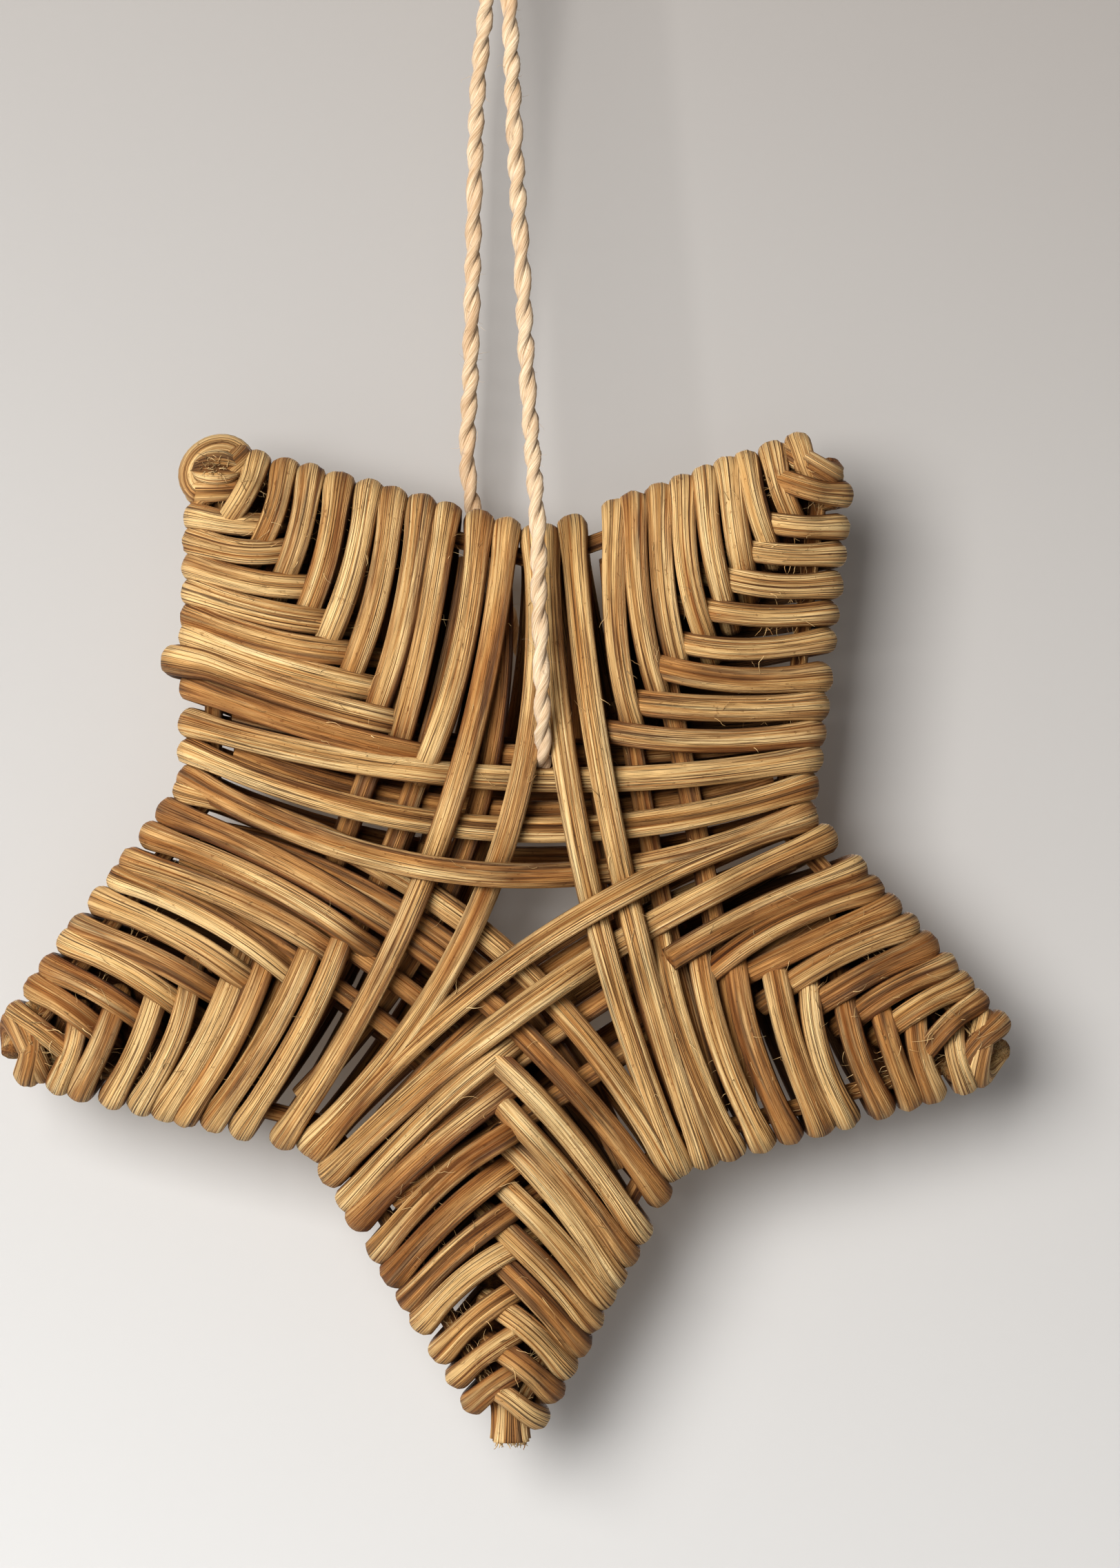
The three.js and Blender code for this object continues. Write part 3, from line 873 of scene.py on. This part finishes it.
LINE_STEP = 0.5
INNER_AROUND = 12
# How stained a strand is, and how likely that is
STAINS, STAIN_CHANCES = [0.1, 0.3, 0.5, 0.8, 1.1], [0.3, 0.34, 0.2, 0.11, 0.05]
# The layer beneath is painted darker as painted shade; the first centre strand and the loose turn get stains
# of their own
FIRST_CENTRE_STAIN, INNER_PAINTED_SHADE, LOOSE_STAIN = 0.75, 1.2, 0.3
# Painted shade on an arm strand's two ends, where they tuck under the others: how dark, and over what length
TUCKED_PAINTED_SHADE, TUCKED_LENGTH = 0.6, 6.5
# Painted shade on the sides between the turns of an arm, and in the open centre
ARM_SIDE_SHADE, CENTRE_SIDE_SHADE = 1.0, 0.6
# The strands are slimmer than in the part, which leaves gaps between them
CENTRE_SLIM, LEFT_UPPER_SLIM, ARM_SLIM = 0.88, 0.93, 0.89


def tucked(stain):
    """The stain along an arm's strand, with painted shade where its two ends tuck in under the others."""
    def along(run):
        ends = np.exp(-(run / TUCKED_LENGTH) ** 2) + np.exp(-((run[-1] - run) / TUCKED_LENGTH) ** 2)
        return stain + TUCKED_PAINTED_SHADE * ends

    return along


def strand_rings(front, back, closed, inner):
    """A strand's centre line, its side directions and how far it is pressed flat, ring by ring."""
    if inner:
        points, sides = lifted(front, back, front.plan[0])
        press = np.zeros((len(points), 1))
    else:
        points, sides, press = strand_route(front, back, closed)
    if closed:
        points, sides, press = (np.concatenate([row, row[:1]]) for row in (points, sides, press))
    points, sides, press = resample(points, LINE_STEP, sides, press)
    if closed:
        points, sides, press = points[:-1], sides[:-1], press[:-1]
    points = smooth(points, 1.0, LINE_STEP, closed)
    sides = unit(smooth(sides, 2.0, LINE_STEP, closed))
    press = smooth(press, 2.0, LINE_STEP, closed)
    step = int(round(RING_STEP / LINE_STEP)) * (2 if inner else 1)
    return points[::step], sides[::step], press[::step, 0]


def dress_strands(strands):
    builders = {}
    for number, (node, front, back, closed) in enumerate(strands):
        if node not in builders:
            piece = node.replace("arm_winding", "wound_strands").replace("centre_weave", "woven_strands")
            builders[node] = Builder(piece, "rattan")
        inner = not isinstance(back, Pass)
        points, sides, press = strand_rings(front, back, closed, inner)
        rng = np.random.default_rng(1000 + number)
        stain = rng.choice(STAINS, p=STAIN_CHANCES)
        if inner:
            # Painted shade on the layer beneath, in place of a stain
            stain = INNER_PAINTED_SHADE
        elif not closed:
            stain = tucked(LOOSE_STAIN if front.wraps[0].bulge > 1 else stain)
        elif front.order == CENTRE_STRANDS[0][3]:
            stain = FIRST_CENTRE_STAIN
        in_centre = closed or inner
        look = (rng.uniform(0, 0.6), stain, CENTRE_SIDE_SHADE if in_centre else ARM_SIDE_SHADE)
        slim = CENTRE_SLIM if in_centre else LEFT_UPPER_SLIM if node == "arm_winding_left_upper" else ARM_SLIM
        tube(builders[node], points, sides, swelling(slim * front.radius, 2000 + number),
             fluted(3000 + number), look, 4000 + number, INNER_AROUND if inner else AROUND,
             press=press, closed=closed)
    return builders


# How far each arm's two rod ends stand out past its tip
ROD_ENDS = {"right_upper": 1.6, "left_upper": 2.6, "left_lower": 1.8, "bottom": 5.6, "right_lower": 1.8}
ROD_FLARE, FLARE_LENGTH = 0.16, 1.2
# The rods are painted dark inside the star, as painted shade, and pale at their ends
ROD_PAINTED_SHADE, ROD_END_PALER, ROD_END_LENGTH = 1.5, 1.4, 6.0


def near_ends(run, length):
    return np.exp(-run / length) + np.exp((run - run[-1]) / length)


def rod_radius(run):
    return ROD_DIAMETER / 2 * (1 + ROD_FLARE * near_ends(run, FLARE_LENGTH))


# Painted shade along a rod, less of it near its ends
def rod_painted_shade(run):
    return ROD_PAINTED_SHADE - ROD_END_PALER * near_ends(run, ROD_END_LENGTH)


def rods():
    for index, valley in enumerate(VALLEYS):
        halves = []
        for arm, hand in ((index, 1), ((index + 1) % len(ARMS), -1)):
            edge = Edge(arm, hand)
            reach = ROD_ENDS[ARMS[arm]["name"]]
            halves.append([edge.tip + edge.axis * reach, edge.tip + edge.axis * 0.6, edge.tip,
                           edge.at(edge.length * 0.9), edge.at(edge.length * 0.5), edge.at(5)])
        bend = polar(valley["angle"], valley["radius"])
        flat = np.array([*halves[0], bend, *halves[1][::-1]])
        flat = resample(smooth(resample(flat, 0.4), 0.9, 0.4), 0.8)
        points = np.column_stack([flat, np.zeros(len(flat))])
        sides = np.column_stack([quarter(unit(np.gradient(flat, axis=0))), np.zeros(len(flat))])
        builder = Builder(f"bent_rod_{valley['name']}", "frame_rods")
        tube(builder, points, sides, rod_radius, fluted(310 + index, 2.0), (0.5, rod_painted_shade, 0.0),
             320 + index, 18)
        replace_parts(builder.mesh(ROD_WOOD), f"frame_rod_{valley['name']}")


# Turns of strand round an arm's two rod ends: how many, and where they start
BOUND_TIPS = {"right_upper": (1.1, -2.2), "left_upper": (1.3, -1.5), "left_lower": (1.3, -2.2),
              "right_lower": (1.4, -2.4)}
# The turns' half widths, how much narrower the tucked end is, and how far they run out
TURN_WIDE, TURN_DEEP = 4.6, 3.9
TUCK_WIDE, TUCK_DEEP, TUCK_FROM = 2.4, 2.0, 0.8
TURN_ADVANCE, TURN_SLANT = 3.6, 0.6
# Dark, rounded strand ends: how far out they stand and their half width
STUBS = {"right_lower": (2.6, 2.7), "right_upper": (2.2, 2.1), "left_lower": (2.4, 2.6)}
# Rod ends glued into one pale stub: its length, and its half widths at the root and the torn end
SPLAYED = {"bottom": (6.1, 2.2, 2.9)}
# An arched strand end with a lump of fibres: how far out from the tip
KNOBS = {"left_upper": 2.7}
ARCH_OUT, ARCH_ACROSS, ARCH_RADIUS = 3.4, 4.2, 2.0
LUMP_HALF_LENGTH, LUMP_RADIUS, LUMP_HEIGHT = 3.9, 3.1, 3.5
AHEAD = np.array([0.0, 0.0, 1.0])


class Tip:
    """One arm's tip: its direction out and across, and its own random numbers."""

    def __init__(self, builder, arm, seed):
        self.builder, self.name, self.seed = builder, arm["name"], seed
        self.radius = arm["radius"]
        self.axis = np.append(polar(arm["angle"]), 0.0)
        self.across = np.append(quarter(self.axis[:2]), 0.0)
        self.rng = np.random.default_rng(seed)

    def strand(self, points, side, radius_at, seed, flutes, look):
        seed += self.seed
        sides = np.tile(side, (len(points), 1))
        tube(self.builder, points, sides, radius_at, fluted(seed, flutes), look, seed + 1)

    def outward(self, first, last):
        return (self.radius + np.linspace(first, last, 12))[:, None] * self.axis


def bind(tip):
    """Turns of strand round the two rod ends, the last one tucked in."""
    turns, begin = BOUND_TIPS[tip.name]
    turn = np.linspace(0, TAU * turns, int(26 * turns)) + tip.rng.uniform(2.2, 3.0)
    share = np.linspace(0, 1, len(turn))
    tuck = np.clip((share - TUCK_FROM) / (1 - TUCK_FROM), 0, 1) ** 2
    wide = TURN_WIDE - TUCK_WIDE * tuck - 0.5 * share
    deep = TURN_DEEP - TUCK_DEEP * tuck
    out = tip.radius + begin + (TURN_ADVANCE * turns) * share - TURN_SLANT * np.sin(turn)
    points = (out[:, None] * tip.axis + (wide * np.cos(turn))[:, None] * tip.across
              + (deep * np.sin(turn))[:, None] * AHEAD)
    tip.strand(resample(points, RING_STEP), tip.axis, swelling(STRAND_DIAMETER / 2 * 0.94, tip.seed), 1, 1.0,
               (0.3, 0.75, 0.0))


def splayed_stub(tip):
    reach, narrow, wide = SPLAYED[tip.name]
    points = tip.outward(0.0, reach)

    def spread(run):
        return narrow + (wide - narrow) * (run / run[-1]) ** 2

    tip.strand(points, tip.across, spread, 15, 4.0, (1.0, 0.1, 0.0))
    for _ in range(40):
        start = (points[-1] + tip.rng.uniform(-0.8, 0.8) * wide * tip.across
                 + tip.rng.uniform(-0.7, 0.7) * wide * AHEAD)
        lean = unit(tip.axis + tip.rng.normal(size=3) * 0.25)
        thread(tip.builder, tip.rng, start, lean, tip.rng.uniform(0.4, 1.3), 0.16)


def rounded_stub(tip):
    reach, half = STUBS[tip.name]

    def dome(run):
        return half * np.sqrt(np.clip(1 - (run / run[-1]) ** 4, 0.01, 1))

    tip.strand(tip.outward(-3.0, reach), tip.across, dome, 13, 3.0, (0.1, 1.25, 0.0))


def knob(tip):
    """A strand's end arched over the tip, with a lump of torn fibres on it."""
    centre = (tip.radius + KNOBS[tip.name]) * tip.axis
    angle = np.linspace(-1.7, 2.0, 34)
    points = (centre + (ARCH_OUT * np.cos(angle))[:, None] * tip.axis
              + (ARCH_ACROSS * np.sin(angle))[:, None] * tip.across + (0.4 + 0.9 * angle)[:, None] * AHEAD)
    tip.strand(resample(points, 0.8), AHEAD, swelling(ARCH_RADIUS, tip.seed + 4), 5, 1.0, (0.7, 0.35, 0.0))
    share = np.linspace(-1, 1, 18)
    points = (centre + (LUMP_HALF_LENGTH * share)[:, None] * unit(tip.across + 0.7 * tip.axis)
              - 0.2 * tip.axis + LUMP_HEIGHT * AHEAD)

    def lump(run):
        return LUMP_RADIUS * np.sqrt(np.clip(1 - np.linspace(-1, 1, len(run)) ** 2, 0, 1)) + 0.1

    tip.strand(points, tip.axis, lump, 7, 6.5, (1.0, 0.3, 0.0))
    for _ in range(90):
        start = (centre - 0.2 * tip.axis + LUMP_HEIGHT * AHEAD
                 + unit(tip.rng.normal(size=3) + (0, 0, 1.6)) * 2.9)
        thread(tip.builder, tip.rng, start, unit(tip.rng.normal(size=3)), tip.rng.uniform(0.8, 2.4), 0.10)


def dress_tip(builder, index):
    """What an arm ends in."""
    tip = Tip(builder, ARMS[index], 600 + 10 * index)
    for forms, make in ((BOUND_TIPS, bind), (SPLAYED, splayed_stub), (STUBS, rounded_stub), (KNOBS, knob)):
        if tip.name in forms:
            make(tip)


FRONT_FIBRES, BACK_FIBRES = 4.5, 2.0
WHISKER_REACH = 0.8          # the last part of a strand is tucked in


def whiskers(builder, node, strands, rng):
    """Torn fibres that stand off the strands."""
    for front, back in [(front, back) for name, front, back, _ in strands if name == node]:
        ways = ((front, 1), (back, -1)) if isinstance(back, Pass) else ((front, back),)
        for way, face in ways:
            for _ in range(rng.poisson(FRONT_FIBRES if face > 0 else BACK_FIBRES)):
                at = int(rng.integers(2, max(3, int(len(way.plan) * WHISKER_REACH))))
                along = unit(way.plan[min(at + 1, len(way.plan) - 1)] - way.plan[at - 1])
                aside = quarter(along) * rng.uniform(-0.8, 0.8)
                height = face * (way.heights[at] + way.radius * 0.72)
                start = np.append(way.plan[at] + aside * way.radius * 0.9, height)
                lean = np.array([*along * rng.choice([-1, 1]), face * rng.uniform(0.1, 0.6)])
                lean = unit(lean + rng.normal(size=3) * 0.35)
                thread(builder, rng, start, lean, rng.uniform(1.0, 4.2), rng.uniform(0.05, 0.10))


GLUE_GAP_LIMIT, GLUE_RADIUS, GLUE_REACH = 9.0, 0.06, 0.45


def glue_threads(builder, node, strands, rng):
    """Pale strings of glue between neighbouring strands of an arm's front, close to the rods."""
    fronts = [front for name, front, _, _ in strands if name == node]
    for hand in (0, 1):
        row = fronts[hand::2]
        for one, two in zip(row, row[1:]):
            span = min(len(one.plan), len(two.plan))
            for _ in range(rng.integers(3, 12)):
                at = int(rng.integers(1, max(2, int(span * GLUE_REACH))))
                a = np.append(one.plan[at], one.heights[at] - 0.2)
                b = np.append(two.plan[at], two.heights[at] - 0.2)
                gap = np.linalg.norm(b[:2] - a[:2])
                if gap > GLUE_GAP_LIMIT or gap < STRAND_DIAMETER:
                    continue
                step = unit(b - a)
                start = a + step * (one.radius - 0.5) + np.array([0, 0, rng.uniform(-0.6, 0.6)])
                thread(builder, rng, start, step + rng.normal(size=3) * 0.12,
                       gap - one.radius - two.radius + 1.0, GLUE_RADIUS)


strands = build_star()
dressed = dress_strands(strands)
fibre_rng = np.random.default_rng(77)
arm_nodes = [f"arm_winding_{arm['name']}" for arm in ARMS]
for node, builder in dressed.items():
    if node in arm_nodes:
        dress_tip(builder, arm_nodes.index(node))
        glue_threads(builder, node, strands, fibre_rng)
    whiskers(builder, node, strands, fibre_rng)
    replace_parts(builder.mesh(RATTAN), node)
rods()
twine()


# Wall, floor and light
# A little light of the wall's own, as bounce from a bright room
WALL_GLOW = 0.09
WALL_BEHIND = 21.0
WALL_HALF_WIDTH, WALL_TOP = 900.0, 700.0
# Painted light and shade on the wall: its tone from dim at the top right to bright at the bottom left
WALL_SHADED_TONE, WALL_LIT_TONE = (0.272, 0.257, 0.246), (0.565, 0.572, 0.578)
FLOOR_LEVEL = -520.0
FLOOR_HALF = 1500.0
FLOOR_TONE = (0.34, 0.335, 0.33)
STAR_MIDDLE = (0, 0, -170)


def sheet(name, corners, dim, bright, see_through=False):
    """A flat sheet whose tone runs from dim at the top right to bright at the bottom left: painted light and
    shade.

    A see-through one is so from behind alone, and doesn't hide the star's back."""
    look = Shading(name)
    # Painted light: the tone brightens towards the bottom left
    slope = look.nodes.new("ShaderNodeVectorMath")
    slope.operation = "DOT_PRODUCT"
    look.put(slope, {0: look.add("ShaderNodeTexCoord", {}, "Object"), 1: (-0.8, 0.0, -2.4)})
    tone = look.ramp(slope.outputs["Value"], [(0.0, dim), (1.0, bright)])
    look.put(look.shader, {"Base Color": tone, "Roughness": 0.9})
    if see_through:
        look.put(look.shader, {"Emission Color": tone, "Emission Strength": WALL_GLOW})
        behind = look.add("ShaderNodeNewGeometry", {}, "Backfacing")
        clear = look.add("ShaderNodeBsdfTransparent", {})
        either = look.add("ShaderNodeMixShader", {0: behind, 1: look.shader.outputs[0], 2: clear})
        look.put(look.nodes["Material Output"], {"Surface": either})
    mesh = bpy.data.meshes.new(name)
    mesh.from_pydata([tuple(c * MM for c in corner) for corner in corners], [], [(0, 1, 2, 3)])
    mesh.materials.append(look.made)
    piece = bpy.data.objects.new(name, mesh)
    piece.visible_shadow = not see_through
    bpy.context.collection.objects.link(piece)


CORNERS = ((-1, 0), (1, 0), (1, 1), (-1, 1))
sheet("wall", [(x * WALL_HALF_WIDTH, WALL_BEHIND, WALL_TOP if up else FLOOR_LEVEL) for x, up in CORNERS],
      WALL_SHADED_TONE, WALL_LIT_TONE, see_through=True)
sheet("floor", [(x * FLOOR_HALF, FLOOR_HALF * (2 * up - 1), FLOOR_LEVEL) for x, up in CORNERS],
      FLOOR_TONE, FLOOR_TONE)


def area_light(name, location, size, power, colour):
    """A square lamp that shines at the star's middle."""
    data = bpy.data.lights.new(name, "AREA")
    data.shape = "RECTANGLE"
    data.size = data.size_y = size * MM
    data.energy = power
    data.color = colour
    lamp = bpy.data.objects.new(name, data)
    start = np.array(location) * MM
    ahead = np.array(STAR_MIDDLE) * MM - start
    lamp.location = tuple(start)
    tilt = math.acos(-ahead[2] / np.linalg.norm(ahead))
    lamp.rotation_euler = (tilt, 0, math.atan2(ahead[1], ahead[0]) - math.pi / 2)
    bpy.context.collection.objects.link(lamp)


area_light("key", (-660, -1440, 190), 1000, 39, (1.0, 0.975, 0.94))
area_light("fill", (100, -1300, -700), 900, 1.7, (0.96, 0.98, 1.0))
area_light("behind", (0, 1440, -60), 800, 11, (1.0, 0.985, 0.96))
world = bpy.data.worlds.new("world")
world.use_nodes = True
background = world.node_tree.nodes["Background"].inputs
background[0].default_value = (0.93, 0.95, 1.0, 1)
background[1].default_value = 0.12
scene = bpy.context.scene
scene.world = world
scene.view_settings.view_transform = "Standard"
scene.view_settings.look = "Medium High Contrast"
